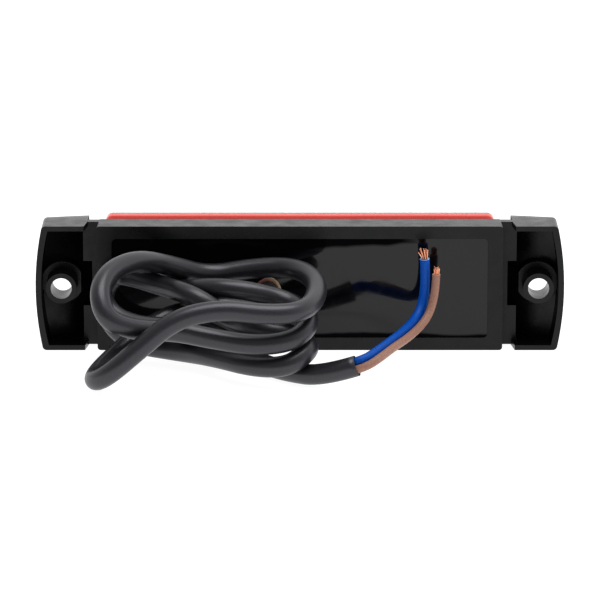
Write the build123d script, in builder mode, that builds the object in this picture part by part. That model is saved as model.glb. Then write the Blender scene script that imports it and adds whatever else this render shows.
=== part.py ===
from build123d import *
import math
import os

# Slim trailer tail light, millimetres. X runs along the lamp, Y from its mounting face out to
# its lens, Z up. The origin is on the mounting plane, midway between the two screw holes.

# ---- lamp outline -------------------------------------------------------------------------
lamp_length = 130.0
lamp_height = 31.3
lamp_depth = 20.0
body_length = 99.8
body_depth = 8.2
body_corner = 0.8

# ---- mounting ears ------------------------------------------------------------------------
hole_spacing = 117.4
hole_diameter = 5.2
ear_inner = 52.3
ear_side_depth = 9.2
ear_front_inner = 14.6
ear_front_outer = 10.3
ear_bow = 1.7
ear_wall = 1.4
ear_skin = 1.25
ear_front_wall = 1.5
ear_corner = 1.1
ear_bevel = 0.5
boss_radius = 3.8
well_radius = 5.2
well_flat = 4.6
well_back = 7.0
screw_seat = 8.8
screw_seat_radius = 4.4

# ---- neck that joins an ear to the body -----------------------------------------------------
neck_back = 5.6
neck_height = lamp_height - 0.2
neck_edge = 53.5
neck_edge_top = 53.1
neck_edge_middle = 52.7
neck_edge_low = 54.0
notch_x, notch_height, notch_floor, notch_wall = 51.4, 11.2, 11.2, 0.9

# ---- base tray --------------------------------------------------------------------------------
panel_length = 92.4
panel_height = 25.0
panel_recess = 0.35
panel_corner = 1.2
floor_level = 2.4
ledge_level = 6.4
ledge_width = 1.4
fit_gap = 0.1
post_radius = 2.4
pin_radius = 0.9
pin_hole_radius = 1.0
post_x, post_z = 38.2, 9.6

# ---- lens ---------------------------------------------------------------------------------------
lens_length = 97.2
lens_height = 30.0
lens_wall = 1.6
lens_front_wall = 1.8
lens_corner = 2.0
lens_edge = 1.0
lens_draft = 0.8
adhesive_height = 0.3
lens_back = ledge_level + adhesive_height

# ---- lighting parts -----------------------------------------------------------------------------
board_length, board_height = 92.0, 25.6
board_back, board_front = 9.4, 10.8
led_positions = (-42.0, -34.5, -27.0, 27.0, 34.5, 42.0)
led_length, led_height, led_rise = 3.5, 2.8, 1.9
led_dome_radius = 1.2
bezel_front = 15.4
bezel_plate = 1.0
bezel_wall = 1.0
bezel_opening_length, bezel_opening_height = 39.4, 23.4
cup_back = 11.2
cup_mouth, cup_throat, cup_wall = 3.5, 2.4, 0.7
backing_back = 13.0
reflex_length, reflex_height = 38.6, 22.6
reflex_front = 17.0
reflex_plate = 1.2
reflex_border = 1.5
prism_pitch = 2.0
prism_rise = 1.0
backing_floor = 1.0

# ---- cable --------------------------------------------------------------------------------------
sheath_diameter = 5.0
blue_diameter = 2.45
brown_diameter = 2.0
cable_x, cable_z = -7.8, -0.8
cable_hole = 5.2
sheath_inner_end = 4.2
seal_length, seal_height = 6.8, 7.4
seal_front, seal_back = 1.5, 0.05
tie_back, tie_width, tie_thickness = 2.5, 1.5, 1.0
potting_level = 4.9
solder_height, solder_radius, solder_tip = 0.4, 1.7, 1.25
lead_shift, lead_drop = 3.4, 2.4
lead_bends = (6.0, 7.0)
strand_diameter = 0.36
core_offset = 1.12
core_stub = 2.2
core_lean = 50.0

# The cable comes straight out of the back of the lamp, folds once at the bottom left, and then
# lies in three loose turns, each a little lower and a different size. All points are on its axis.
sheath_route = [
    (-7.8, 0, -0.8), (-7.8, -6, -0.8), (-12.2, -12.2, -0.9), (-22, -14.8, -1.2),
    (-32.5, -17.2, -2.4), (-41.5, -24, -7.8), (-47.8, -32, -12), (-49.3, -39.5, -13.1),
    (-45.5, -44.5, -10.4), (-38, -44.5, -3.8), (-29.5, -43, 3.2), (-19, -41.5, 5.2),
    (-9, -41, 3.8), (-0.5, -39.5, 3.6), (3.8, -31, 4.6), (4.2, -18.5, 6.6),
    (-1.2, -8, 7.4), (-11.5, -5.6, 6.6), (-22.5, -5.6, 4.6), (-31.2, -10, 8.2),
    (-39, -20.8, 12.4), (-45.4, -30, 11.8), (-47.8, -37.5, 8.4), (-45.8, -41.8, 2.6),
    (-39, -40, -0.4), (-30, -34.5, -1.8), (-20, -34.5, -4), (-10, -37.5, -4.8),
    (-1.5, -37.5, -3.6), (2, -32, -1.5), (2, -23.5, -0.6), (-3, -17.2, 1.3),
    (-13, -19, 4.2), (-22.5, -17.5, 4.6), (-30.5, -9.1, 1.5), (-37.5, -6, 5.2),
    (-43.8, -6, 6.2), (-48.2, -7.8, 1.6), (-47.2, -10.6, -5.2), (-40.8, -12.5, -10.8),
    (-29.5, -15.5, -11.8), (-20, -26, -10.6), (-11, -33.8, -11), (-3, -37.6, -10),
    (1.8, -34.2, -7.2), (2.2, -26.5, -7.2), (-1.8, -19, -6.6), (-10.5, -18.2, -5.6),
    (-18.5, -22.8, -0.8), (-26, -22, 3.8), (-33.5, -14.2, 4.2), (-41.4, -13.2, 6.6),
    (-46.8, -17, 7.8), (-48.2, -25, 5.4), (-44.8, -31, 0.6), (-37, -29, -2.6),
    (-27.5, -22, -3.8), (-19.8, -15.2, -7.8), (-12, -20.5, -12.8), (-3, -30.2, -13.1),
    (5.2, -36.4, -12.6), (13.6, -37.4, -9.7),
]
# From the cut end of the sheath the two stiff cores turn up and stand in front of the panel.
blue_turns = [
    (18, -32.6, -7.8), (21.4, -26.2, -7), (24.9, -19, -6.3), (28.1, -11.5, -5.1),
    (29.9, -8.4, -2.2), (30.5, -7.6, 1.8), (30.6, -7.7, 5.9), (30.4, -8, 9.4),
]
brown_turns = [
    (18.8, -37.1, -8.1), (22.4, -30.2, -7.1), (26.2, -22.2, -6.7), (29.4, -14.3, -5.9),
    (31.6, -11, -3.6), (32.7, -9.8, 0.1), (33.1, -9.6, 3.4), (33.2, -9.8, 6),
]

hole_x = hole_spacing / 2
half_length = lamp_length / 2
half_height = lamp_height / 2
half_body = body_length / 2
tray_length = lens_length - 2 * ledge_width
tray_height = lens_height - 2 * ledge_width


def across(depth):
    """Plane across the lamp. Profiles are drawn at a piece's front and extruded to its back."""
    return Plane(origin=(0, depth, 0), x_dir=(1, 0, 0), z_dir=(0, -1, 0))


def finish(piece, name):
    """Name a finished piece and write its file."""
    piece.part.label = name
    export_step(piece.part, f"parts/{name}.step")


def corner_radii(points):
    """Largest even arc for each corner of a route: 0.45 of its shorter run."""
    radii = []
    for before, corner, after in zip(points, points[1:], points[2:]):
        arriving = Vector(*corner) - Vector(*before)
        leaving = Vector(*after) - Vector(*corner)
        half_turn = math.radians(arriving.get_angle(leaving)) / 2
        radii.append(0.45 * min(arriving.length, leaving.length) / math.tan(half_turn))
    return radii


def route_line(points):
    """Straight runs joined by tangent arcs."""
    with BuildLine():
        route = FilletPolyline(*points, radius=corner_radii(points))
    return route


def route_tube(name, points, diameter):
    """A round tube along a route, with its arcs and its volume printed as a test."""
    path = route_line(points)
    with BuildPart() as tube:
        with BuildSketch(Plane(origin=path @ 0, z_dir=path % 0)):
            Circle(diameter / 2)
        sweep(path=path)
    expected = math.pi * diameter**2 / 4 * path.length
    print(name, "length", round(path.length, 1), "volume ratio", round(tube.part.volume / expected, 4))
    print("  arcs", [round(radius, 1) for radius in corner_radii(points)])
    return tube


def strand_fan(foot, heading, count, length, ring, spread):
    """Bare copper strands: one in the middle, and the rest splayed in a ring round it."""
    end_plane = Plane(origin=foot, z_dir=heading)
    with BuildPart() as fan:
        with BuildSketch(end_plane):
            Circle(strand_diameter / 2)
        extrude(amount=length)
        for number in range(count - 1):
            around = 2 * math.pi * number / (count - 1)
            outward = end_plane.x_dir * math.cos(around) + end_plane.y_dir * math.sin(around)
            lean = (end_plane.z_dir + outward * spread).normalized()
            with BuildSketch(Plane(origin=end_plane.origin + outward * ring, z_dir=lean)):
                Circle(strand_diameter / 2)
            extrude(amount=length * (0.92 if number % 2 else 1.0))
    return fan


os.makedirs("parts", exist_ok=True)

# ---- base housing: the tray, with an ear at each end --------------------------------------------
ear_top_x = half_length - ear_bow
bevelled_height = half_height - ear_bevel


def ear_solid(inset, skin, front_wall, inner_x):
    """The ear's outer form, or the hollow inside it when the insets are its wall thicknesses."""
    tip = half_length - inset
    shoulder = ear_top_x - inset
    rise = ear_front_inner - front_wall
    fall = ear_front_outer - front_wall
    with BuildPart() as ear:
        with BuildSketch(across(rise)):
            with BuildLine():
                Polyline((shoulder, half_height - skin), (inner_x, half_height - skin),
                         (inner_x, skin - half_height), (shoulder, skin - half_height))
                ThreePointArc((shoulder, skin - half_height), (tip, 0), (shoulder, half_height - skin))
            make_face()
        extrude(amount=rise)
        with BuildSketch(Plane.YZ):
            Polygon((0, skin - half_height), (0, half_height - skin),
                    (ear_side_depth, half_height - skin), (rise, bevelled_height - skin),
                    (rise, skin - bevelled_height), (ear_side_depth, skin - half_height), align=None)
        extrude(amount=lamp_length, mode=Mode.INTERSECT)
        with BuildSketch(Plane.XY):
            Polygon((inner_x, 0), (tip, 0), (tip, fall), (ear_inner, rise), (inner_x, rise), align=None)
        extrude(amount=lamp_height, both=True, mode=Mode.INTERSECT)
    return ear


ear = ear_solid(inset=0, skin=0, front_wall=0, inner_x=ear_inner)
ear_hollow = ear_solid(inset=ear_wall, skin=ear_skin, front_wall=ear_front_wall, inner_x=neck_edge)

with BuildPart() as screw_well:
    with BuildSketch(across(ear_front_inner)):
        with Locations((hole_x, 0)):
            Circle(well_radius)
        with Locations((hole_x + well_radius - well_flat, 0)):
            Rectangle(2 * well_radius, 2 * well_radius, mode=Mode.INTERSECT)
    extrude(amount=ear_front_inner - well_back)
    with BuildSketch(across(well_back)):
        with Locations((hole_x, 0)):
            Circle(boss_radius)
    extrude(amount=well_back)
    add(ear.part, mode=Mode.INTERSECT)

with BuildPart() as mounting_ear:
    add(ear.part)
    fillet(mounting_ear.edges().filter_by(Axis.Y).group_by(Axis.X)[-1], ear_corner)
    add(ear_hollow.part, mode=Mode.SUBTRACT)
    # the side that faces the body is open behind the neck, and its edges slant a little
    with BuildSketch(across(neck_back)):
        with Locations((ear_inner, 0)):
            Rectangle(2 * (neck_edge - ear_inner) + 0.2, lamp_height - 2 * ear_skin)
    extrude(amount=neck_back, mode=Mode.SUBTRACT)
    with BuildSketch(Plane.XY):
        Polygon((ear_inner, 0), (ear_inner + 0.7, 0), (ear_inner, neck_back), align=None)
    extrude(amount=lamp_height, both=True, mode=Mode.SUBTRACT)
    add(screw_well.part)
    # neck plate, with an uneven edge inside the ear
    with BuildSketch(across(body_depth)):
        Polygon((half_body - 1, neck_height / 2), (neck_edge_top, neck_height / 2),
                (neck_edge_top, 12.9), (neck_edge_middle, 7.4), (neck_edge_middle, -7.6),
                (neck_edge_low - 0.5, -13.0), (neck_edge_low, -neck_height / 2),
                (half_body - 1, -neck_height / 2), align=None)
    extrude(amount=body_depth - neck_back)
    # pocket beside the screw well, cut through the neck into a small bump on the ear's side
    with BuildSketch(across(notch_floor + notch_wall)):
        with Locations(((notch_x - notch_wall + neck_edge) / 2, 0)):
            Rectangle(neck_edge - notch_x + notch_wall, notch_height + 2 * notch_wall)
    extrude(amount=notch_floor + notch_wall - neck_back)
    with BuildSketch(across(notch_floor)):
        with Locations(((notch_x + neck_edge) / 2, 0)):
            Rectangle(neck_edge - notch_x + 0.2, notch_height)
    extrude(amount=notch_floor, mode=Mode.SUBTRACT)
    with BuildSketch(across(ear_front_inner)):
        with Locations((hole_x, 0)):
            Circle(screw_seat_radius)
    extrude(amount=ear_front_inner - screw_seat, mode=Mode.SUBTRACT)
    with BuildSketch(across(screw_seat)):
        with Locations((hole_x, 0)):
            Circle(hole_diameter / 2)
    extrude(amount=screw_seat, mode=Mode.SUBTRACT)

with BuildPart() as base_housing:
    with BuildSketch(across(body_depth)):
        RectangleRounded(body_length, lamp_height, body_corner)
    extrude(amount=body_depth)
    with BuildSketch(across(panel_recess)):
        RectangleRounded(panel_length, panel_height, panel_corner)
    extrude(amount=panel_recess, mode=Mode.SUBTRACT)
    with BuildSketch(across(body_depth)):
        RectangleRounded(lens_length + 2 * fit_gap, lens_height + 2 * fit_gap, lens_corner + fit_gap)
    extrude(amount=body_depth - ledge_level, mode=Mode.SUBTRACT)
    with BuildSketch(across(ledge_level)):
        RectangleRounded(tray_length, tray_height, lens_corner - 0.8)
    extrude(amount=ledge_level - floor_level, mode=Mode.SUBTRACT)
    with BuildSketch(across(board_back)):
        with GridLocations(2 * post_x, 2 * post_z, 2, 2):
            Circle(post_radius)
    extrude(amount=board_back - floor_level)
    with BuildSketch(across(board_front + 0.5)):
        with GridLocations(2 * post_x, 2 * post_z, 2, 2):
            Circle(pin_radius)
    extrude(amount=board_front + 0.5 - board_back)
    with BuildSketch(across(seal_front)):
        with Locations((cable_x, cable_z)):
            Ellipse(seal_length / 2, seal_height / 2)
    extrude(amount=seal_front, mode=Mode.SUBTRACT)
    with BuildSketch(across(floor_level)):
        with Locations((cable_x, cable_z)):
            Circle(cable_hole / 2)
    extrude(amount=floor_level, mode=Mode.SUBTRACT)
    add(mounting_ear.part)
    add(mirror(mounting_ear.part, about=Plane.YZ, mode=Mode.PRIVATE))
finish(base_housing, "base_housing")

# ---- cable where it enters the lamp ---------------------------------------------------------------
with BuildPart() as entry_sealant:
    with BuildSketch(across(seal_front)):
        with Locations((cable_x, cable_z)):
            Ellipse(seal_length / 2, seal_height / 2)
    extrude(amount=seal_front - seal_back)
    fillet(entry_sealant.faces().sort_by(Axis.Y)[0].edges(), 0.25)
    with BuildSketch(across(seal_front)):
        with Locations((cable_x, cable_z)):
            Circle(sheath_diameter / 2)
    extrude(amount=seal_front, mode=Mode.SUBTRACT)
finish(entry_sealant, "entry_sealant")

with BuildPart() as sheath_inside:
    with BuildSketch(across(sheath_inner_end)):
        with Locations((cable_x, cable_z)):
            Circle(sheath_diameter / 2)
    extrude(amount=sheath_inner_end)
finish(sheath_inside, "sheath_inside")

with BuildPart() as inner_cable_tie:
    with BuildSketch(across(tie_back + tie_width)):
        with Locations((cable_x, cable_z)):
            Circle(sheath_diameter / 2 + tie_thickness)
        with Locations((cable_x, cable_z + sheath_diameter / 2 + 1.4)):
            Rectangle(3.6, 2.8)
        with Locations((cable_x, cable_z)):
            Circle(sheath_diameter / 2, mode=Mode.SUBTRACT)
    extrude(amount=tie_width)
finish(inner_cable_tie, "inner_cable_tie")

def lead_route(side, offset):
    """A lead rises from the sheath's end, steps aside and rises again to the board's back."""
    low_bend, high_bend = lead_bends
    start_x = cable_x + side * offset
    pad_x, pad_z = cable_x + side * lead_shift, cable_z - side * lead_drop
    return [(start_x, sheath_inner_end, cable_z), (start_x, low_bend, cable_z),
            (pad_x, high_bend, pad_z), (pad_x, board_back - solder_height, pad_z)]


blue_inside = lead_route(1, core_offset)
brown_inside = lead_route(-1, core_offset)
blue_lead_inside = route_tube("blue_lead_inside", blue_inside, blue_diameter)
finish(blue_lead_inside, "blue_lead_inside")
brown_lead_inside = route_tube("brown_lead_inside", brown_inside, brown_diameter)
finish(brown_lead_inside, "brown_lead_inside")

with BuildPart() as solder_joints:
    for end_point in (blue_inside[-1], brown_inside[-1]):
        with BuildSketch(across(board_back)):
            with Locations((end_point[0], end_point[2])):
                Circle(solder_radius)
        with BuildSketch(across(board_back - solder_height)):
            with Locations((end_point[0], end_point[2])):
                Circle(solder_tip)
        loft()
finish(solder_joints, "solder_joints")

with BuildPart() as potting_compound:
    with BuildSketch(across(potting_level)):
        RectangleRounded(tray_length, tray_height, lens_corner - 0.8)
        with GridLocations(2 * post_x, 2 * post_z, 2, 2):
            Circle(post_radius, mode=Mode.SUBTRACT)
    extrude(amount=potting_level - floor_level)
    add(sheath_inside.part, mode=Mode.SUBTRACT)
    add(inner_cable_tie.part, mode=Mode.SUBTRACT)
    add(blue_lead_inside.part, mode=Mode.SUBTRACT)
    add(brown_lead_inside.part, mode=Mode.SUBTRACT)
finish(potting_compound, "potting_compound")

# ---- circuit board and what is soldered to it -------------------------------------------------------
with BuildPart() as circuit_board:
    with BuildSketch(across(board_front)):
        RectangleRounded(board_length, board_height, 1.0)
        with GridLocations(2 * post_x, 2 * post_z, 2, 2):
            Circle(pin_hole_radius, mode=Mode.SUBTRACT)
    extrude(amount=board_front - board_back)
finish(circuit_board, "circuit_board")

with BuildPart() as led_packages:
    with BuildSketch(across(board_front + led_rise)):
        with Locations(*[(x, 0) for x in led_positions]):
            Rectangle(led_length, led_height)
    extrude(amount=led_rise)
finish(led_packages, "led_packages")

with BuildPart() as led_domes:
    with Locations(*[(x, board_front + led_rise, 0) for x in led_positions]):
        Sphere(led_dome_radius)
    split(bisect_by=Plane(origin=(0, board_front + led_rise, 0), z_dir=(0, 1, 0)), keep=Keep.TOP)
finish(led_domes, "led_domes")


def board_chips(name, places, length, height, rise, bevel):
    """Small moulded parts on the front of the board, all of one size."""
    with BuildPart() as chips:
        with BuildSketch(across(board_front + rise)):
            with Locations(*places):
                Rectangle(length, height)
        extrude(amount=rise)
        chamfer(chips.faces().group_by(Axis.Y)[-1].edges(), bevel)
    finish(chips, name)


board_chips("resistors", [(-15 + 3.6 * number, -8.4) for number in range(6)], 1.6, 3.2, 0.6, 0.1)
board_chips("polarity_diode", [(-14.0, 4.0)], 4.4, 2.6, 1.9, 0.25)
board_chips("surge_suppressor", [(-6.4, 4.0)], 4.6, 3.6, 1.95, 0.3)
board_chips("current_regulator", [(10.5, 3.6)], 4.5, 2.6, 1.5, 0.25)
board_chips("filter_capacitor", [(2.4, 4.2)], 3.2, 2.5, 1.8, 0.15)

# ---- reflector cups, reflex reflector and its backing -----------------------------------------------
with BuildPart() as light_bezel:
    with BuildSketch(across(bezel_front)):
        RectangleRounded(board_length, board_height, 1.0)
    extrude(amount=bezel_front - board_front)
    with BuildSketch(across(bezel_front - bezel_plate)):
        RectangleRounded(board_length - 2 * bezel_wall, board_height - 2 * bezel_wall, 0.8)
    extrude(amount=bezel_front - bezel_plate - board_front, mode=Mode.SUBTRACT)
    for x in led_positions:
        for wall, mode in ((cup_wall, Mode.ADD), (0, Mode.SUBTRACT)):
            with BuildSketch(across(bezel_front)):
                with Locations((x, 0)):
                    Circle(cup_mouth + wall)
            with BuildSketch(across(cup_back)):
                with Locations((x, 0)):
                    Circle(cup_throat + wall)
            loft(mode=mode)
    with BuildSketch(across(bezel_front)):
        RectangleRounded(bezel_opening_length, bezel_opening_height, 0.8)
    extrude(amount=bezel_front - board_front, mode=Mode.SUBTRACT)
finish(light_bezel, "light_bezel")

reflex_rim = reflex_front - reflex_plate
with BuildPart() as reflex_backing:
    with BuildSketch(across(reflex_rim)):
        RectangleRounded(reflex_length, reflex_height, 0.8)
    extrude(amount=reflex_rim - backing_back)
    with BuildSketch(across(reflex_rim)):
        Rectangle(reflex_length - 2 * reflex_border, reflex_height - 2 * reflex_border)
    extrude(amount=reflex_rim - backing_back - backing_floor, mode=Mode.SUBTRACT)
    with BuildSketch(across(backing_back)):
        with GridLocations(reflex_length - 4, reflex_height - 4, 2, 2):
            Circle(1.2)
    extrude(amount=backing_back - board_front)
finish(reflex_backing, "reflex_backing")

prism_length = reflex_length - 2 * reflex_border - 2 * fit_gap
prism_height = reflex_height - 2 * reflex_border - 2 * fit_gap
prism_columns = int(prism_length // prism_pitch)
prism_rows = int(prism_height // prism_pitch)
with BuildPart() as reflex_reflector:
    with BuildSketch(across(reflex_front)):
        RectangleRounded(reflex_length, reflex_height, 0.8)
    extrude(amount=reflex_plate)
    with BuildSketch(across(reflex_rim)):
        Rectangle(prism_columns * prism_pitch, prism_rows * prism_pitch)
    extrude(amount=prism_rise)
    for column in range(prism_columns + 1):
        x = (column - prism_columns / 2) * prism_pitch
        with BuildSketch(Plane.XY):
            Polygon((x, reflex_rim - 0.05), (x - prism_pitch / 2 + 0.1, reflex_rim - prism_rise - 0.1),
                    (x + prism_pitch / 2 - 0.1, reflex_rim - prism_rise - 0.1), align=None)
        extrude(amount=lamp_height / 2 - 4, both=True, mode=Mode.SUBTRACT)
    for row in range(prism_rows + 1):
        z = (row - prism_rows / 2) * prism_pitch
        with BuildSketch(Plane.YZ):
            Polygon((reflex_rim - 0.05, z), (reflex_rim - prism_rise - 0.1, z - prism_pitch / 2 + 0.1),
                    (reflex_rim - prism_rise - 0.1, z + prism_pitch / 2 - 0.1), align=None)
        extrude(amount=reflex_length / 2, both=True, mode=Mode.SUBTRACT)
finish(reflex_reflector, "reflex_reflector")

# ---- lens and its adhesive --------------------------------------------------------------------------
with BuildPart() as lens:
    with BuildSketch(across(lens_back)):
        RectangleRounded(lens_length, lens_height, lens_corner)
    extrude(amount=lens_back - lamp_depth, taper=lens_draft)
    fillet(lens.faces().sort_by(Axis.Y)[-1].edges(), lens_edge)
    with BuildSketch(across(lens_back)):
        RectangleRounded(lens_length - 2 * lens_wall, lens_height - 2 * lens_wall, lens_corner - 0.8)
    extrude(amount=lens_back - lamp_depth + lens_front_wall, taper=lens_draft, mode=Mode.SUBTRACT)
finish(lens, "lens")

with BuildPart() as lens_adhesive:
    with BuildSketch(across(lens_back)):
        RectangleRounded(lens_length, lens_height, lens_corner)
        RectangleRounded(tray_length, tray_height, lens_corner - 0.8, mode=Mode.SUBTRACT)
    extrude(amount=adhesive_height)
finish(lens_adhesive, "lens_adhesive")

# ---- free cable, its two cores and their bare strands ------------------------------------------------
cable_sheath = route_tube("cable_sheath", sheath_route, sheath_diameter)
finish(cable_sheath, "cable_sheath")

sheath_end = Vector(*sheath_route[-1])
end_heading = (sheath_end - Vector(*sheath_route[-2])).normalized()
end_plane = Plane(origin=sheath_end, x_dir=Vector(0, 0, 1).cross(end_heading), z_dir=end_heading)
lean_angle = math.radians(core_lean)
core_side = end_plane.y_dir * math.cos(lean_angle) + end_plane.x_dir * math.sin(lean_angle)


def core_route(side, turns):
    """A core starts beside the sheath's axis, leaves along it and then follows its own turns."""
    start = sheath_end + core_side * side
    return [tuple(start), tuple(start + end_heading * core_stub), *turns]


blue_core = route_tube("blue_core", core_route(core_offset, blue_turns), blue_diameter)
finish(blue_core, "blue_core")
brown_core = route_tube("brown_core", core_route(-core_offset, brown_turns), brown_diameter)
finish(brown_core, "brown_core")

blue_tip = Vector(*blue_turns[-1])
blue_strands = strand_fan(blue_tip, blue_tip - Vector(*blue_turns[-2]), 7, 2.7, 0.62, 0.32)
finish(blue_strands, "blue_strands")
brown_tip = Vector(*brown_turns[-1])
brown_strands = strand_fan(brown_tip, brown_tip - Vector(*brown_turns[-2]), 7, 1.9, 0.55, 0.16)
finish(brown_strands, "brown_strands")
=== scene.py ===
import math
import random

import bmesh
import bpy
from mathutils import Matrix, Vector


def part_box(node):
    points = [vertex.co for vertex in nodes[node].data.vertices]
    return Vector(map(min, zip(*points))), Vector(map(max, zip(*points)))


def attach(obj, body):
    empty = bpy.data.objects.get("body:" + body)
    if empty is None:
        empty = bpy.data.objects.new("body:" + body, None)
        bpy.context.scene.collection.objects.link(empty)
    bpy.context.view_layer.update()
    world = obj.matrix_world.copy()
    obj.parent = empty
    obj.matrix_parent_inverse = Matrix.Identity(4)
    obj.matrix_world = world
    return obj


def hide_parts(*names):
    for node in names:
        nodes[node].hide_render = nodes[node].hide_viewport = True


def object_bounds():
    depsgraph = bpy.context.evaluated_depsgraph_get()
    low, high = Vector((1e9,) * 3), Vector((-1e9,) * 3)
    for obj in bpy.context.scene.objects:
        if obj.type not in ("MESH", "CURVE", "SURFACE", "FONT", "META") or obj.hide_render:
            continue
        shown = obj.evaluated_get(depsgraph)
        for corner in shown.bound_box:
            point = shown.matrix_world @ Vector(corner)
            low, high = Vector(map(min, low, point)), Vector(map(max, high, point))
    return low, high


# A slim trailer tail light seen from behind, with its cable in loose turns. Metres throughout.
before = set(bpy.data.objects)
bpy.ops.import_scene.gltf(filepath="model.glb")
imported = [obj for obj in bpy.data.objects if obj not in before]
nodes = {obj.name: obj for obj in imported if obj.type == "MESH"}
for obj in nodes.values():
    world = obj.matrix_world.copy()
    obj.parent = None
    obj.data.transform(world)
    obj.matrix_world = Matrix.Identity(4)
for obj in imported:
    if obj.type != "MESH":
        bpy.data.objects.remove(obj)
cad_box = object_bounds()

MM = 0.001

# ---- sizes ------------------------------------------------------------------------------------
SHEATH_DIAMETER = 0.005
BLUE_DIAMETER = 0.00245
BROWN_DIAMETER = 0.002
STRAND_DIAMETER = 0.00034
CORE_OFFSET = 0.00112
CORE_LEAN = math.radians(50)
CORE_STUB = 0.0022
GOLDEN_ANGLE = 2.4
TWIST_PITCH = 0.038
TWIST_DEPTH = 0.012 * MM
FLOOR_DROP = 0.00005
FLOOR_REACH = 6.0

# Rings that round off a cut end: each is a step forward and a share of the radius.
SHEATH_CUT = ((0.0, 0.985), (0.0, 0.95), (0.0, 0.86), (-0.0004, 0.84))
CORE_CUT = ((0.0, 0.96), (0.0, 0.88), (-0.00005, 0.6))
CORE_START_CUT = ((0.0005, 1.0),)
STRAND_CUT = ((0.0, 0.7),)

# ---- parts of the lamp that have their own finish, and painted shade and painted dark reflections on the lamp ---
# Depths are measured from the mounting plane towards the lens, the rest from the lamp's middle.
PANEL_DEPTHS = (0.0003, 0.0004)
PANEL_HALF_LENGTH = 0.0464
POCKET_DISTANCES = (0.0513, 0.0545)
POCKET_HALF_HEIGHT = 0.0057
POCKET_DEPTHS = (0.002, 0.0115)
# Painted dark reflections on the panel: a line along its lower edge and a wedge under its upper
# one.
PAINTED_DARK_LINE_HEIGHTS = (-11.7 * MM, -11.1 * MM)
PAINTED_DARK_WEDGE_START = 9.4 * MM
PAINTED_DARK_WEDGE_SLOPE = 0.085
PAINTED_DARK_WEDGE_END = (25 * MM, 31 * MM)
# Painted shade on the lens skirt: darker colour, less see-through and weaker reflection towards the
# base.
SKIRT_PAINTED_SHADE_DEPTHS = (12.0 * MM, 17.0 * MM)
SKIRT_PAINTED_DIM_REFLECTION_DEPTHS = (14.8 * MM, 18.4 * MM)
SKIRT_PAINTED_SHADE_CLEAR_DEPTHS = (16.8 * MM, 18.1 * MM)
BEAD_OVERLAP = 0.00005
BEAD_SINK = 0.00033
RIM_SINK = 0.00035
BASE_EDGE = 0.16 * MM
LENS_EDGE = 0.12 * MM
EDGE_ANGLE = math.radians(28)

# ---- light ------------------------------------------------------------------------------------
TENT_SLOPE = (0.16, 0.34, -0.12)
TENT_DIM_SLOPE = -0.4
TENT_BRIGHT_SLOPE = 0.3
TENT_DIM = 0.22
TENT_BRIGHT = 0.95
FLOOR_GLOW = 0.78

# ---- camera -----------------------------------------------------------------------------------
CAMERA_ELEVATION = math.radians(14)
CAMERA_DISTANCE = 1.054
CAMERA_LENS = 257.0
CAMERA_AIM = Vector((0.00003, 0, -0.0029))

# ---- cable routes: the same points as the cable's own design ------------------------------------
SHEATH_ROUTE = [
    (-0.0078, 0, -0.0008), (-0.0078, -0.006, -0.0008), (-0.0122, -0.0122, -0.0009),
    (-0.022, -0.0148, -0.0012), (-0.0325, -0.0172, -0.0024), (-0.0415, -0.024, -0.0078),
    (-0.0478, -0.032, -0.012), (-0.0493, -0.0395, -0.0131), (-0.0455, -0.0445, -0.0104),
    (-0.038, -0.0445, -0.0038), (-0.0295, -0.043, 0.0032), (-0.019, -0.0415, 0.0052),
    (-0.009, -0.041, 0.0038), (-0.0005, -0.0395, 0.0036), (0.0038, -0.031, 0.0046),
    (0.0042, -0.0185, 0.0066), (-0.0012, -0.008, 0.0074), (-0.0115, -0.0056, 0.0066),
    (-0.0225, -0.0056, 0.0046), (-0.0312, -0.01, 0.0082), (-0.039, -0.0208, 0.0124),
    (-0.0454, -0.03, 0.0118), (-0.0478, -0.0375, 0.0084), (-0.0458, -0.0418, 0.0026),
    (-0.039, -0.04, -0.0004), (-0.03, -0.0345, -0.0018), (-0.02, -0.0345, -0.004),
    (-0.01, -0.0375, -0.0048), (-0.0015, -0.0375, -0.0036), (0.002, -0.032, -0.0015),
    (0.002, -0.0235, -0.0006), (-0.003, -0.0172, 0.0013), (-0.013, -0.019, 0.0042),
    (-0.0225, -0.0175, 0.0046), (-0.0305, -0.0091, 0.0015), (-0.0375, -0.006, 0.0052),
    (-0.0438, -0.006, 0.0062), (-0.0482, -0.0078, 0.0016), (-0.0472, -0.0106, -0.0052),
    (-0.0408, -0.0125, -0.0108), (-0.0295, -0.0155, -0.0118), (-0.02, -0.026, -0.0106),
    (-0.011, -0.0338, -0.011), (-0.003, -0.0376, -0.01), (0.0018, -0.0342, -0.0072),
    (0.0022, -0.0265, -0.0072), (-0.0018, -0.019, -0.0066), (-0.0105, -0.0182, -0.0056),
    (-0.0185, -0.0228, -0.0008), (-0.026, -0.022, 0.0038), (-0.0335, -0.0142, 0.0042),
    (-0.0414, -0.0132, 0.0066), (-0.0468, -0.017, 0.0078), (-0.0482, -0.025, 0.0054),
    (-0.0448, -0.031, 0.0006), (-0.037, -0.029, -0.0026), (-0.0275, -0.022, -0.0038),
    (-0.0198, -0.0152, -0.0078), (-0.012, -0.0205, -0.0128), (-0.003, -0.0302, -0.0131),
    (0.0052, -0.0364, -0.0126), (0.0136, -0.0374, -0.0097),
]
BLUE_TURNS = [
    (0.018, -0.0326, -0.0078), (0.0214, -0.0262, -0.007), (0.0249, -0.019, -0.0063),
    (0.0281, -0.0115, -0.0051), (0.0299, -0.0084, -0.0022), (0.0305, -0.0076, 0.0018),
    (0.0306, -0.0077, 0.0059), (0.0304, -0.008, 0.0094),
]
BROWN_TURNS = [
    (0.0188, -0.0371, -0.0081), (0.0224, -0.0302, -0.0071), (0.0262, -0.0222, -0.0067),
    (0.0294, -0.0143, -0.0059), (0.0316, -0.011, -0.0036), (0.0327, -0.0098, 0.0001),
    (0.0331, -0.0096, 0.0034), (0.0332, -0.0098, 0.006),
]


# ==== materials ==================================================================================

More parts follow.
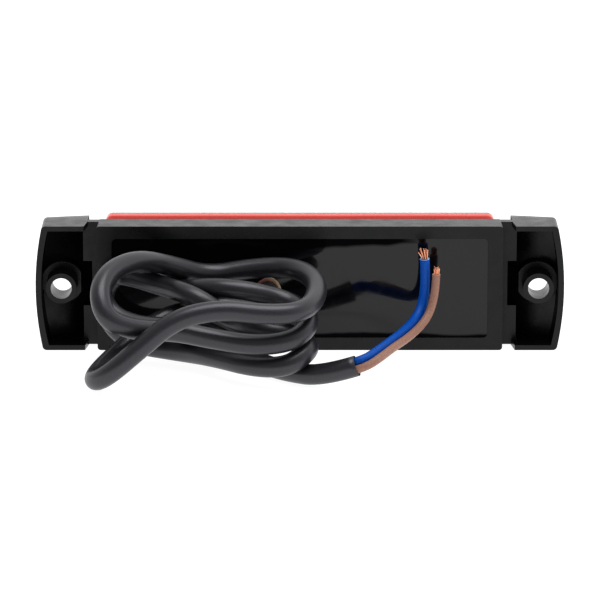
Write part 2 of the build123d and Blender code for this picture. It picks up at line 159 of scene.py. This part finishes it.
class Shader:
    """A new material with its Principled shader, and short ways to add nodes to it."""

    def __init__(self, name, color, roughness, **sockets):
        self.material = bpy.data.materials.new(name)
        self.material.use_nodes = True
        self.tree = self.material.node_tree
        self.shader = self.tree.nodes["Principled BSDF"]
        self.shader.inputs["Base Color"].default_value = (*color, 1)
        self.shader.inputs["Roughness"].default_value = roughness
        for socket, value in sockets.items():
            self.shader.inputs[socket.replace("_", " ")].default_value = value
        self.place = self.add("ShaderNodeTexCoord").outputs["Object"]

    def add(self, kind, **settings):
        node = self.tree.nodes.new(kind)
        for name, value in settings.items():
            setattr(node, name, value)
        return node

    def link(self, output, target):
        self.tree.links.new(output, target)

    def noise(self, scale, detail=3.0, stretch=None, place=None):
        """Noise with so many lumps per metre, stretched along an axis where asked."""
        node = self.add("ShaderNodeTexNoise")
        node.inputs["Scale"].default_value = scale
        node.inputs["Detail"].default_value = detail
        source = place or self.place
        if stretch:
            mapping = self.add("ShaderNodeMapping")
            mapping.inputs["Scale"].default_value = stretch
            self.link(source, mapping.inputs["Vector"])
            source = mapping.outputs["Vector"]
        self.link(source, node.inputs["Vector"])
        return node.outputs["Fac"]

    def spread(self, source, low, high, start=0.3, end=0.7):
        """Maps an output between start and end to a range from low to high."""
        node = self.add("ShaderNodeMapRange")
        node.inputs["From Min"].default_value = start
        node.inputs["From Max"].default_value = end
        node.inputs["To Min"].default_value = low
        node.inputs["To Max"].default_value = high
        self.link(source, node.inputs["Value"])
        return node.outputs["Result"]

    def tint(self, source, *stops):
        """Paints the base colour with stops along a 0 to 1 output."""
        ramp = self.add("ShaderNodeValToRGB")
        while len(ramp.color_ramp.elements) < len(stops):
            ramp.color_ramp.elements.new(0.5)
        for element, (place, color) in zip(ramp.color_ramp.elements, stops):
            element.position = place
            element.color = (*color, 1)
        self.link(source, ramp.inputs["Fac"])
        self.link(ramp.outputs["Color"], self.shader.inputs["Base Color"])

    def math(self, operation, first, second, third=None):
        """One sum. Each term is an output or a number."""
        node = self.add("ShaderNodeMath", operation=operation)
        for socket, term in zip(node.inputs, (first, second, third)):
            if isinstance(term, (int, float)):
                socket.default_value = term
            elif term:
                self.link(term, socket)
        return node.outputs["Value"]

    def rough(self, source, low, high, start=0.3, end=0.7):
        self.link(self.spread(source, low, high, start, end), self.shader.inputs["Roughness"])

    def bump(self, *layers):
        """Heights in metres, each given as (output, height), laid on top of each other."""
        normal = None
        for source, height in layers:
            node = self.add("ShaderNodeBump")
            node.inputs["Strength"].default_value = 1.0
            node.inputs["Distance"].default_value = height
            self.link(source, node.inputs["Height"])
            if normal:
                self.link(normal, node.inputs["Normal"])
            normal = node.outputs["Normal"]
        self.link(normal, self.shader.inputs["Normal"])


def shade(color, factor):
    """The colour made darker or lighter."""
    return tuple(min(1.0, channel * factor) for channel in color)


def satin_abs():
    """Black moulding with a soft shine."""
    s = Shader("abs_satin", (0.005, 0.005, 0.006), 0.28, Specular_IOR_Level=0.36)
    patches = s.noise(90, 4)
    s.tint(patches, (0.3, (0.0035, 0.0035, 0.0045)), (0.7, (0.007, 0.007, 0.008)))
    s.rough(s.noise(260, 3), 0.23, 0.35)
    s.bump((s.noise(3600, 2), 0.004 * MM), (s.noise(150, 2), 0.006 * MM))
    return s.material


def gloss_abs():
    """The panel inside the border: polished and a little uneven. Its shine is turned down in a line
    along its lower edge and in a wedge under the left part of its upper one: painted dark
    reflections."""
    s = Shader("abs_gloss_panel", (0.003, 0.003, 0.004), 0.05)
    s.tint(s.noise(60, 4), (0.3, (0.002, 0.002, 0.003)), (0.7, (0.004, 0.004, 0.0055)))
    s.rough(s.noise(420, 5), 0.03, 0.09)
    parts = s.add("ShaderNodeSeparateXYZ")
    s.link(s.place, parts.inputs["Vector"])
    wander = s.spread(s.noise(38, 3, stretch=(1, 1, 0.3)), -0.9 * MM, 0.9 * MM)
    level = s.math("ADD", parts.outputs["Z"], wander)
    # Painted dark reflections: the shine drops in a line along the lower edge and in a wedge under
    # the upper edge.
    painted_dark_line = s.spread(level, 0, 1, *PAINTED_DARK_LINE_HEIGHTS)
    tilt = s.math("MULTIPLY_ADD", parts.outputs["X"], PAINTED_DARK_WEDGE_SLOPE, PAINTED_DARK_WEDGE_START)
    above = s.math("SUBTRACT", level, tilt)
    painted_dark_wedge = s.spread(above, 1, 0, -0.5 * MM, 0.3 * MM)
    beyond = s.spread(parts.outputs["X"], 0, 1, *PAINTED_DARK_WEDGE_END)
    painted_dark_wedge = s.math("MAXIMUM", painted_dark_wedge, beyond)
    shine = s.math("MULTIPLY", painted_dark_line, painted_dark_wedge)
    s.link(s.spread(shine, 0.02, 0.5, 0, 1), s.shader.inputs["Specular IOR Level"])
    s.bump((s.noise(34, 1, stretch=(0.6, 1, 1.5)), 0.16 * MM), (s.noise(2600, 2), 0.0012 * MM))
    return s.material


def clear_red(name, painted_skirt_shade=False):
    """Red acrylic. For the lens, the skirt is painted darker, less see-through and less reflective
    towards the base: painted shade and painted dim reflection. The front stays clear."""
    s = Shader(name, (0.85, 0.02, 0.02), 0.06, Transmission_Weight=0.85, IOR=1.49)
    drift = s.noise(45, 2)
    if painted_skirt_shade:
        parts = s.add("ShaderNodeSeparateXYZ")
        s.link(s.place, parts.inputs["Vector"])
        level = s.math("ADD", parts.outputs["Y"], s.spread(drift, -0.2 * MM, 0.2 * MM))
        # Painted shade: the skirt's colour darkens towards the base.
        s.tint(s.spread(level, 0, 1, *SKIRT_PAINTED_SHADE_DEPTHS), (0.44, (0.38, 0.007, 0.001)),
               (0.72, (0.85, 0.035, 0.002)), (1.0, (0.98, 0.055, 0.012)))
        # Painted dim reflection: a lower IOR towards the base.
        s.link(s.spread(level, 1.05, 1.4, *SKIRT_PAINTED_DIM_REFLECTION_DEPTHS), s.shader.inputs["IOR"])
        # Painted shade: the skirt is less see-through towards the base.
        clear = s.spread(parts.outputs["Y"], 0.35, 1.0, *SKIRT_PAINTED_SHADE_CLEAR_DEPTHS)
        s.link(clear, s.shader.inputs["Transmission Weight"])
    else:
        s.tint(drift, (0.3, (0.82, 0.016, 0.016)), (0.7, (0.88, 0.03, 0.026)))
    s.rough(s.noise(300, 3), 0.02, 0.06)
    s.bump((s.noise(70, 1), 0.02 * MM))
    return s.material


def cable_pvc(name, dark, light, roughness, ribs, shine):
    """Extruded PVC: fine lines along it and rubbed patches."""
    s = Shader(name, dark, roughness, Specular_IOR_Level=shine, Specular_Tint=(0.95, 0.95, 1, 1))
    along = s.add("ShaderNodeUVMap").outputs["UV"]
    s.tint(s.noise(9, 5, stretch=(3, 2, 1), place=along), (0.3, dark), (0.7, light))
    s.rough(s.noise(30, 4, stretch=(2, 1, 1), place=along), roughness - 0.07, roughness + 0.08)
    s.bump((s.noise(ribs, 2, stretch=(1, 0.03, 1), place=along), 0.012 * MM),
           (s.noise(2400, 3), 0.008 * MM))
    return s.material


def copper():
    s = Shader("bare_copper", (0.86, 0.42, 0.26), 0.3, Metallic=1.0)
    s.tint(s.noise(900, 3), (0.3, (0.72, 0.3, 0.17)), (0.7, (0.95, 0.55, 0.38)))
    s.rough(s.noise(2000, 3), 0.22, 0.42)
    s.bump((s.noise(5200, 2), 0.006 * MM))
    return s.material


def cut_plastic(name, color):
    """A face left by a blade: duller and paler than the skin round it, with drag lines."""
    s = Shader(name, color, 0.62)
    s.tint(s.noise(1500, 3), (0.3, shade(color, 0.8)), (0.7, shade(color, 1.2)))
    s.rough(s.noise(800, 2), 0.55, 0.7)
    s.bump((s.noise(3000, 3, stretch=(1, 0.1, 1)), 0.03 * MM))
    return s.material


def tan_resin():
    s = Shader("sealing_resin", (0.72, 0.47, 0.36), 0.28, Subsurface_Weight=0.15,
               Subsurface_Scale=0.8 * MM)
    across = s.add("ShaderNodeSeparateXYZ")
    s.link(s.place, across.inputs["Vector"])
    left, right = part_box("entry_sealant")[0].x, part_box("entry_sealant")[1].x
    # The colour runs from dark at the bead's left end to lighter at its right end.
    s.tint(s.spread(across.outputs["X"], 0, 1, left, right),
           (0.25, (0.22, 0.1, 0.09)), (0.8, (0.34, 0.25, 0.17)))
    s.rough(s.noise(500, 3), 0.2, 0.4)
    s.bump((s.noise(700, 3), 0.08 * MM))
    return s.material


def simple_plastic(name, color, roughness, grain=1500, depth=0.01, **sockets):
    """Moulded or cast plastic with slight colour drift, uneven gloss and a fine grain."""
    s = Shader(name, color, roughness, **sockets)
    s.tint(s.noise(140, 3), (0.3, shade(color, 0.86)), (0.7, shade(color, 1.14)))
    s.rough(s.noise(400, 3), roughness * 0.8, min(1, roughness * 1.25))
    s.bump((s.noise(grain, 3), depth * MM))
    return s.material


def metallised():
    """Aluminium vacuum-coated on plastic."""
    s = Shader("metallised_plastic", (0.82, 0.82, 0.84), 0.12, Metallic=1.0)
    s.tint(s.noise(120, 3), (0.3, (0.76, 0.76, 0.79)), (0.7, (0.88, 0.88, 0.89)))
    s.rough(s.noise(600, 3), 0.08, 0.2)
    s.bump((s.noise(500, 2), 0.008 * MM))
    return s.material


def green_board():
    """Solder mask with copper showing faintly through it in broad strips."""
    s = Shader("solder_mask", (0.02, 0.16, 0.06), 0.3)
    tracks = s.add("ShaderNodeTexWave")
    tracks.inputs["Scale"].default_value = 260
    tracks.inputs["Distortion"].default_value = 1.5
    s.link(s.place, tracks.inputs["Vector"])
    s.tint(tracks.outputs["Fac"], (0.35, (0.015, 0.12, 0.045)), (0.65, (0.03, 0.21, 0.08)))
    s.rough(s.noise(500, 3), 0.24, 0.4)
    s.bump((tracks.outputs["Fac"], 0.02 * MM), (s.noise(2500, 2), 0.005 * MM))
    return s.material


# ==== mesh helpers ===============================================================================

def link_mesh(name, vertices, faces, materials, smooth=True):
    mesh = bpy.data.meshes.new(name)
    mesh.from_pydata(vertices, [], faces)
    mesh.update()
    for polygon in mesh.polygons:
        polygon.use_smooth = smooth
    for material in materials:
        mesh.materials.append(material)
    piece = bpy.data.objects.new(name, mesh)
    bpy.context.scene.collection.objects.link(piece)
    return piece


def apply_modifiers(piece):
    """Puts the piece's modifiers into its mesh."""
    graph = bpy.context.evaluated_depsgraph_get()
    mesh = bpy.data.meshes.new_from_object(piece.evaluated_get(graph))
    piece.modifiers.clear()
    piece.data = mesh


def spline_path(points, steps=12):
    """Points along the smooth spline that has the route's points as its control points."""
    curve = bpy.data.curves.new("route", "CURVE")
    curve.dimensions = "3D"
    curve.resolution_u = steps
    spline = curve.splines.new("NURBS")
    spline.points.add(len(points) - 1)
    for control, place in zip(spline.points, points):
        control.co = (*place, 1)
    spline.order_u = 3
    spline.use_endpoint_u = True
    holder = bpy.data.objects.new("route", curve)
    bpy.context.scene.collection.objects.link(holder)
    graph = bpy.context.evaluated_depsgraph_get()
    line = bpy.data.meshes.new_from_object(holder.evaluated_get(graph))
    path = [vertex.co.copy() for vertex in line.vertices]
    bpy.data.objects.remove(holder)
    bpy.data.meshes.remove(line)
    bpy.data.curves.remove(curve)
    return path


def rings_along(path):
    """A heading, two side directions and the distance run for each point, with no twist."""
    rings = []
    heading = (path[1] - path[0]).normalized()
    side = heading.orthogonal().normalized()
    run = 0.0
    for number, place in enumerate(path):
        before, after = path[max(number - 1, 0)], path[min(number + 1, len(path) - 1)]
        turned = (after - before).normalized()
        side = (side - turned * side.dot(turned)).normalized()
        if number:
            run += (place - path[number - 1]).length
        rings.append((place, turned, side, turned.cross(side), run))
    return rings


def round_tube(name, path, diameter, materials, sides=28, twist_pitch=None, twist_depth=0.0,
               cut=(), start_cut=()):
    """A closed round tube. Its cut ends are (step forward, share of the radius) rings, and the
    last ring is closed with a face of the second material."""
    rings = rings_along(path)
    first, last = rings[0], rings[-1]
    body = [(ring, 1.0) for ring in rings]
    for forward, share in start_cut:
        body.insert(0, ((first[0] - first[1] * forward, *first[1:]), share))
    for forward, share in cut:
        body.append(((last[0] + last[1] * forward, *last[1:]), share))
    vertices, faces, spots = [], [], []
    for (place, heading, side, up, run), share in body:
        for number in range(sides):
            angle = 2 * math.pi * number / sides
            swell = 0.0
            if twist_pitch:
                swell = twist_depth * math.cos(2 * (angle - 2 * math.pi * run / twist_pitch))
            reach = (diameter / 2 + swell) * share
            vertices.append(place + (side * math.cos(angle) + up * math.sin(angle)) * reach)
        spots.append(run)
    for row in range(len(body) - 1):
        for number in range(sides):
            after = (number + 1) % sides
            faces.append((row * sides + number, row * sides + after,
                          (row + 1) * sides + after, (row + 1) * sides + number))
    faces.append(tuple(reversed(range(sides))))
    faces.append(tuple(range((len(body) - 1) * sides, len(body) * sides)))
    piece = link_mesh(name, vertices, faces, materials)
    uv = piece.data.uv_layers.new(name="along")
    for face_number, polygon in enumerate(piece.data.polygons):
        row, column = divmod(face_number, sides)
        for corner, loop in enumerate(polygon.loop_indices):
            if face_number < (len(body) - 1) * sides:
                around = column + (1 if corner in (1, 2) else 0)
                distance = spots[row + (1 if corner in (2, 3) else 0)]
            else:
                around, distance = corner, spots[0 if face_number % 2 else -1]
            uv.data[loop].uv = (around / sides * math.pi * diameter * 100, distance * 100)
        if row >= len(rings) - 1 + len(start_cut) and len(materials) > 1:
            polygon.material_index = 1
    return piece


# ==== camera and light ===========================================================================

def set_camera():
    away = Vector((0, -math.cos(CAMERA_ELEVATION), math.sin(CAMERA_ELEVATION)))
    data = bpy.data.cameras.new("camera")
    data.lens = CAMERA_LENS
    data.sensor_width = 36.0
    data.clip_start = 0.01
    data.clip_end = 50.0
    camera = bpy.data.objects.new("camera", data)
    camera.location = CAMERA_AIM + away * CAMERA_DISTANCE
    camera.rotation_euler = (-away).to_track_quat("-Z", "Y").to_euler()
    bpy.context.scene.collection.objects.link(camera)
    bpy.context.scene.camera = camera


def area_light(name, place, target, size, power):
    data = bpy.data.lights.new(name, "AREA")
    data.shape = "RECTANGLE"
    data.size, data.size_y = size
    data.energy = power
    light = bpy.data.objects.new(name, data)
    light.location = place
    light.rotation_euler = (Vector(target) - Vector(place)).to_track_quat("-Z", "Y").to_euler()
    bpy.context.scene.collection.objects.link(light)


def set_studio():
    """A white tent: bright behind the lamp and low down, dimmer overhead and round the camera."""
    scene = bpy.context.scene
    scene.view_settings.view_transform = "Standard"
    scene.view_settings.look = "Medium High Contrast"
    world = bpy.data.worlds.new("tent")
    world.use_nodes = True
    tree = world.node_tree
    place = tree.nodes.new("ShaderNodeTexCoord")
    slope = tree.nodes.new("ShaderNodeVectorMath")
    slope.operation = "DOT_PRODUCT"
    slope.inputs[1].default_value = TENT_SLOPE
    glow = tree.nodes.new("ShaderNodeMapRange")
    glow.inputs["From Min"].default_value = TENT_DIM_SLOPE
    glow.inputs["From Max"].default_value = TENT_BRIGHT_SLOPE
    glow.inputs["To Min"].default_value = TENT_DIM
    glow.inputs["To Max"].default_value = TENT_BRIGHT
    tree.links.new(place.outputs["Generated"], slope.inputs[0])
    tree.links.new(slope.outputs["Value"], glow.inputs["Value"])
    tree.links.new(glow.outputs["Result"], tree.nodes["Background"].inputs["Strength"])
    tree.nodes["Background"].inputs["Color"].default_value = (1, 1, 1, 1)
    scene.world = world
    base = cad_box[0][2] - FLOOR_DROP
    turns = ((-1, -1), (1, -1), (1, 1), (-1, 1))
    corners = [(x * FLOOR_REACH, y * FLOOR_REACH, base) for x, y in turns]
    floor = link_mesh("floor", corners, [(0, 1, 2, 3)], [], smooth=False)
    paper = Shader("white_paper", (0.3, 0.3, 0.3), 0.9)
    paper.shader.inputs["Emission Color"].default_value = (1, 1, 1, 1)
    paper.shader.inputs["Emission Strength"].default_value = FLOOR_GLOW
    paper.bump((paper.noise(900, 3), 0.01 * MM))
    floor.data.materials.append(paper.material)
    area_light("top_softbox", place=(0.1, -0.1, 0.8), target=(0, 0, 0), size=(0.7, 0.5), power=3.0)


# ==== cable ======================================================================================

def make_sheath(materials):
    path = spline_path(SHEATH_ROUTE)
    sheath = round_tube("cable_outer_sheath", path, SHEATH_DIAMETER, materials, sides=32,
                        twist_pitch=TWIST_PITCH, twist_depth=TWIST_DEPTH, cut=SHEATH_CUT)
    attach(sheath, "root")
    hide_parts("cable_sheath")


def core_start():
    """The cut end of the sheath, its heading, and the way from its axis to the blue core."""
    end = Vector(SHEATH_ROUTE[-1])
    heading = (end - Vector(SHEATH_ROUTE[-2])).normalized()
    back = Vector((0, 0, 1)).cross(heading).normalized()
    up = heading.cross(back)
    return end, heading, up * math.cos(CORE_LEAN) + back * math.sin(CORE_LEAN)


def make_core(name, side, turns, diameter, materials, node):
    """An insulated core, on one side or the other (1 or -1) of the sheath's axis."""
    end, heading, offset = core_start()
    start = end + offset * CORE_OFFSET * side
    path = spline_path([start, start + heading * CORE_STUB, *turns])
    core = round_tube(name, path, diameter, materials, sides=24,
                      cut=CORE_CUT, start_cut=CORE_START_CUT)
    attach(core, "root")
    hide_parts(node)


def make_strands(name, turns, core_diameter, count, length, spread, lean, node, material, seed):
    """Bare strands that leave the insulation together and splay."""
    chance = random.Random(seed)
    tip = Vector(turns[-1])
    heading = (tip - Vector(turns[-2])).normalized()
    side = heading.cross(Vector((0, 1, 0))).normalized()
    back = heading.cross(side)
    meshes = []
    for number in range(count):
        angle = GOLDEN_ANGLE * number + chance.uniform(-0.3, 0.3)
        foot = core_diameter * 0.3 * math.sqrt((number + 0.5) / count)
        out = side * math.cos(angle) + back * math.sin(angle)
        reach = length * chance.uniform(0.72, 1.0)
        throw = spread * chance.uniform(0.3, 1.0)
        places = []
        for share in (-0.3, 0.0, 0.35, 0.7, 1.0):
            bend = max(share, 0) ** 1.6
            place = tip + heading * reach * share + out * (foot + throw * bend) + lean * bend
            places.append(place)
        meshes.append(round_tube(f"{name}_{number}", spline_path(places, 6), STRAND_DIAMETER,
                                 [material], sides=8, cut=STRAND_CUT))
    whole = join(meshes, name)
    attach(whole, "root")
    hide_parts(node)
    return whole


def join(pieces, name):
    """One object from several."""
    bpy.ops.object.select_all(action="DESELECT")
    for piece in pieces:
        piece.select_set(True)
    bpy.context.view_layer.objects.active = pieces[0]
    bpy.ops.object.join()
    pieces[0].name = name
    return pieces[0]


# ==== lamp =======================================================================================

def softened_copy(node, name, edge):
    """The CAD node's shape as a new piece, with its sharp edges rounded as a mould rounds them."""
    data = nodes[node].data.copy()
    data.materials.clear()
    piece = bpy.data.objects.new(name, data)
    bpy.context.scene.collection.objects.link(piece)
    shape = bmesh.new()
    shape.from_mesh(data)
    bmesh.ops.remove_doubles(shape, verts=shape.verts, dist=0.002 * MM)
    bmesh.ops.dissolve_limit(shape, angle_limit=math.radians(2), verts=shape.verts,
                             edges=shape.edges)
    shape.to_mesh(data)
    shape.free()
    if "custom_normal" in data.attributes:
        data.attributes.remove(data.attributes["custom_normal"])
    for polygon in data.polygons:
        polygon.use_smooth = True
    bevel = piece.modifiers.new("edges", "BEVEL")
    bevel.width = edge
    bevel.segments = 2
    bevel.limit_method = "ANGLE"
    bevel.angle_limit = EDGE_ANGLE
    flats = piece.modifiers.new("flats", "WEIGHTED_NORMAL")
    flats.weight = 60
    apply_modifiers(piece)
    piece.data.name = name
    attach(piece, "root")
    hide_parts(node)
    return piece


def within(value, limits):
    return limits[0] < value < limits[1]


def make_base(satin, gloss, pocket_shade):
    """The base's faces are satin, but for the glossy panel and the pockets by the wells, which are
    painted near black as painted shade.
    """
    base = softened_copy("base_housing", "base_moulding", BASE_EDGE)
    for material in (satin, gloss, pocket_shade):
        base.data.materials.append(material)
    for polygon in base.data.polygons:
        middle = polygon.center
        along, up = abs(middle.x), abs(middle.z)
        on_panel = within(middle.y, PANEL_DEPTHS) and along < PANEL_HALF_LENGTH
        in_pocket = within(middle.y, POCKET_DEPTHS) and within(along, POCKET_DISTANCES)
        if on_panel and polygon.normal.y < -0.98:
            polygon.material_index = 1
        # The pocket faces take the near-black material: painted shade.
        elif in_pocket and up < POCKET_HALF_HEIGHT:
            polygon.material_index = 2


def make_lens(material):
    lens = softened_copy("lens", "lens_moulding", LENS_EDGE)
    lens.data.materials.append(material)


def make_sealant(material):
    """A bead of resin round the cable, smoothed over and uneven round its rim."""
    low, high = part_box("entry_sealant")
    center = (low + high) / 2
    half = (high - low) / 2
    chance = random.Random(7)
    sides = 48
    waves = [(k, chance.uniform(0.01, 0.035), chance.uniform(0, 6.3)) for k in (2, 3, 5, 8)]
    hole = SHEATH_DIAMETER / 2 - BEAD_OVERLAP
    # Rings from the rim to the hole: how far out each lies, and how far it has sunk to the panel.
    profile = ((1.0, 1.0), (0.985, 0.62), (0.94, 0.3), (0.86, 0.1), (0.76, 0.03), (0.66, 0.0))
    hole_share = profile[-1][0]
    vertices, faces = [], []
    for share, sunk in profile:
        for number in range(sides):
            angle = 2 * math.pi * number / sides
            wobble = 1 - sum(a * (1 + math.cos(k * angle + p)) for k, a, p in waves) / 2
            edge = Vector((half.x * math.cos(angle), 0, half.z * math.sin(angle))) * wobble
            inner = Vector((hole * math.cos(angle), 0, hole * math.sin(angle)))
            blend = (share - hole_share) / (1 - hole_share)
            place = inner.lerp(edge, blend ** 0.8)
            level = low.y + (RIM_SINK if share == 1.0 else BEAD_SINK * sunk)
            vertices.append((center.x + place.x, level, center.z + place.z))
    rows = len(profile)
    for row in (0, rows - 1):
        for number in range(sides):
            x, _, z = vertices[row * sides + number]
            vertices.append((x, high.y, z))
    order = [rows, *range(rows), rows + 1, rows]
    for first, second in zip(order, order[1:]):
        for number in range(sides):
            after = (number + 1) % sides
            faces.append((first * sides + number, second * sides + number,
                          second * sides + after, first * sides + after))
    piece = link_mesh("entry_resin", vertices, faces, [material])
    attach(piece, "root")
    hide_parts("entry_sealant")


def dress(materials):
    """Gives the CAD nodes that stay their finishes."""
    for node, material in materials.items():
        data = nodes[node].data
        data.materials.clear()
        data.materials.append(material)


set_camera()
set_studio()

sheath_skin = cable_pvc("cable_pvc", (0.015, 0.015, 0.019), (0.024, 0.024, 0.029), 0.34, 26, 0.82)
sheath_cut = cut_plastic("cable_pvc_cut", (0.05, 0.05, 0.054))
blue_skin = cable_pvc("blue_pvc", (0.0003, 0.08, 0.42), (0.0005, 0.115, 0.52), 0.38, 30, 0.28)
blue_cut = cut_plastic("blue_pvc_cut", (0.3, 0.5, 0.78))
brown_skin = cable_pvc("brown_pvc", (0.31, 0.165, 0.125), (0.43, 0.24, 0.175), 0.45, 30, 0.4)
brown_cut = cut_plastic("brown_pvc_cut", (0.66, 0.45, 0.35))
bare = copper()

make_sheath([sheath_skin, sheath_cut])
blue_strands = make_strands("blue_copper", BLUE_TURNS, BLUE_DIAMETER, 11, 0.0026, 0.0006,
                            Vector((-0.0003, 0, 0)), "blue_strands", bare, 3)
make_core("blue_insulation", 1, BLUE_TURNS, BLUE_DIAMETER, [blue_skin, blue_cut],
          "blue_core")
brown_strands = make_strands("brown_copper", BROWN_TURNS, BROWN_DIAMETER, 11, 0.0019, 0.00035,
                             Vector((0, 0, 0)), "brown_strands", bare, 5)
make_core("brown_insulation", -1, BROWN_TURNS, BROWN_DIAMETER,
          [brown_skin, brown_cut], "brown_core")

# Near black with almost no shine: painted shade in the pockets by the wells.
painted_pocket_shade = simple_plastic("abs_painted_pocket_shade", (0.0015, 0.0015, 0.0015), 0.7, Specular_IOR_Level=0.04)
make_base(satin_abs(), gloss_abs(), painted_pocket_shade)
make_lens(clear_red("acrylic_lens", painted_skirt_shade=True))
make_sealant(tan_resin())
chip = simple_plastic("chip_epoxy", (0.03, 0.03, 0.03), 0.5, 2500, 0.008)
white = simple_plastic("white_nylon", (0.78, 0.78, 0.75), 0.4)
dress({
    "lens_adhesive": simple_plastic("adhesive", (0.5, 0.5, 0.47), 0.25, 700, 0.02),
    "reflex_reflector": clear_red("acrylic_reflector"),
    "reflex_backing": simple_plastic("backing_abs", (0.02, 0.02, 0.02), 0.4),
    "light_bezel": metallised(),
    "circuit_board": green_board(),
    "led_packages": white,
    "led_domes": simple_plastic("led_phosphor", (0.9, 0.62, 0.16), 0.12, 3000, 0.004,
                                Coat_Weight=0.8, Coat_Roughness=0.05),
    "resistors": chip,
    "polarity_diode": chip,
    "surge_suppressor": chip,
    "current_regulator": chip,
    "filter_capacitor": simple_plastic("tan_ceramic", (0.5, 0.36, 0.22), 0.45),
    "solder_joints": simple_plastic("solder", (0.72, 0.72, 0.73), 0.25, 900, 0.02, Metallic=1.0),
    "potting_compound": simple_plastic("potting_resin", (0.03, 0.03, 0.032), 0.2, 300, 0.03),
    "inner_cable_tie": white,
    "sheath_inside": sheath_skin,
    "blue_lead_inside": blue_skin,
    "brown_lead_inside": brown_skin,
})
